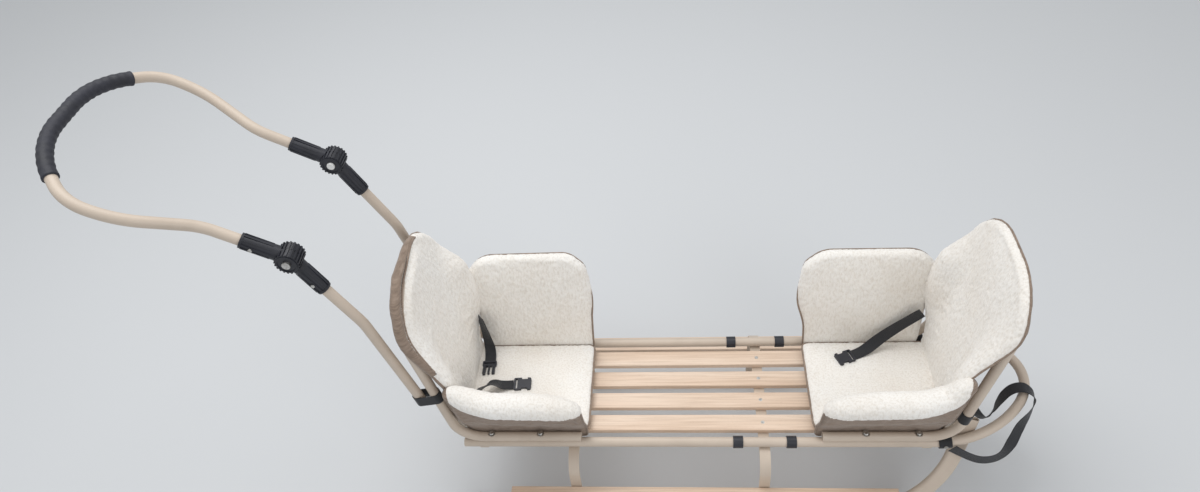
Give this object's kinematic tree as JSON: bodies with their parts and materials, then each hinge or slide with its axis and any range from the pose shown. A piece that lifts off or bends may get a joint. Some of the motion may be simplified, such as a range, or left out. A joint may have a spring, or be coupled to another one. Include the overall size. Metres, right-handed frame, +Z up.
{
  "type": "two-seater push sled",
  "caption": "Steel-tube sled with a slatted wooden deck, facing fleece-lined seats, flat-oval runners, footrests and a folding push handle.",
  "frame": {"origin": "on the floor, in the middle of the sled and its handle along X, midway between the runners", "axes": "+X to the front (pull end), +Y to the left, +Z up"},
  "size_m": [1.744, 0.4464, 0.9953],
  "materials": {
    "tube_paint": "satin powder coat",
    "wood": "clear lacquered beech",
    "liner": "curly fleece with woven cover",
    "webbing": "woven webbing",
    "black_plastic": "moulded",
    "white_plastic": "moulded",
    "foam_grip": "soft foam",
    "zinc_steel": "zinc plated"
  },
  "bodies": {
    "sled": {"belt_front_left": "webbing", "belt_front_right": "webbing", "belt_rear_left": "webbing", "belt_rear_right": "webbing", "buckle_front_left": "black_plastic", "buckle_front_right": "black_plastic", "buckle_rear_left": "black_plastic", "buckle_rear_right": "black_plastic", "crossbar_front": "tube_paint", "crossbar_rear": "tube_paint", "deck_screws": "zinc_steel", "footrest_left": "wood", "footrest_right": "wood", "handle_tie_left": "webbing", "handle_tie_right": "webbing", "leg_arch_front": "tube_paint", "leg_arch_rear": "tube_paint", "liner_front": "liner", "liner_rear": "liner", "liner_ties": "webbing", "pull_strap": "webbing", "push_tube_left": "tube_paint", "push_tube_right": "tube_paint", "rail_clips": "black_plastic", "rail_loop": "tube_paint", "release_button_left": "white_plastic", "release_button_right": "white_plastic", "runner_bolts": "zinc_steel", "runner_left": "tube_paint", "runner_right": "tube_paint", "seat_bolts_front": "zinc_steel", "seat_bolts_rear": "zinc_steel", "seat_frame_front": "tube_paint", "seat_frame_rear": "tube_paint", "slat_1": "wood", "slat_2": "wood", "slat_3": "wood", "slat_4": "wood", "sleeve_screws_lower": "zinc_steel", "strap_loop_left": "webbing", "strap_loop_right": "webbing", "strap_rivets": "zinc_steel", "swivel_lower_left": "black_plastic", "swivel_lower_right": "black_plastic", "swivel_pin_left": "zinc_steel", "swivel_pin_right": "zinc_steel"},
    "handle": {"grip": "foam_grip", "handle_loop": "tube_paint", "sleeve_screws_upper": "zinc_steel", "swivel_upper_left": "black_plastic", "swivel_upper_right": "black_plastic"}
  },
  "joints": [
    {"name": "handle_fold", "type": "hinge", "parent": "sled", "child": "handle", "pos_m": [-0.49555, 0, 0.766], "axis": [0, 1, 0], "range_deg": [-60, 100]}
  ]
}
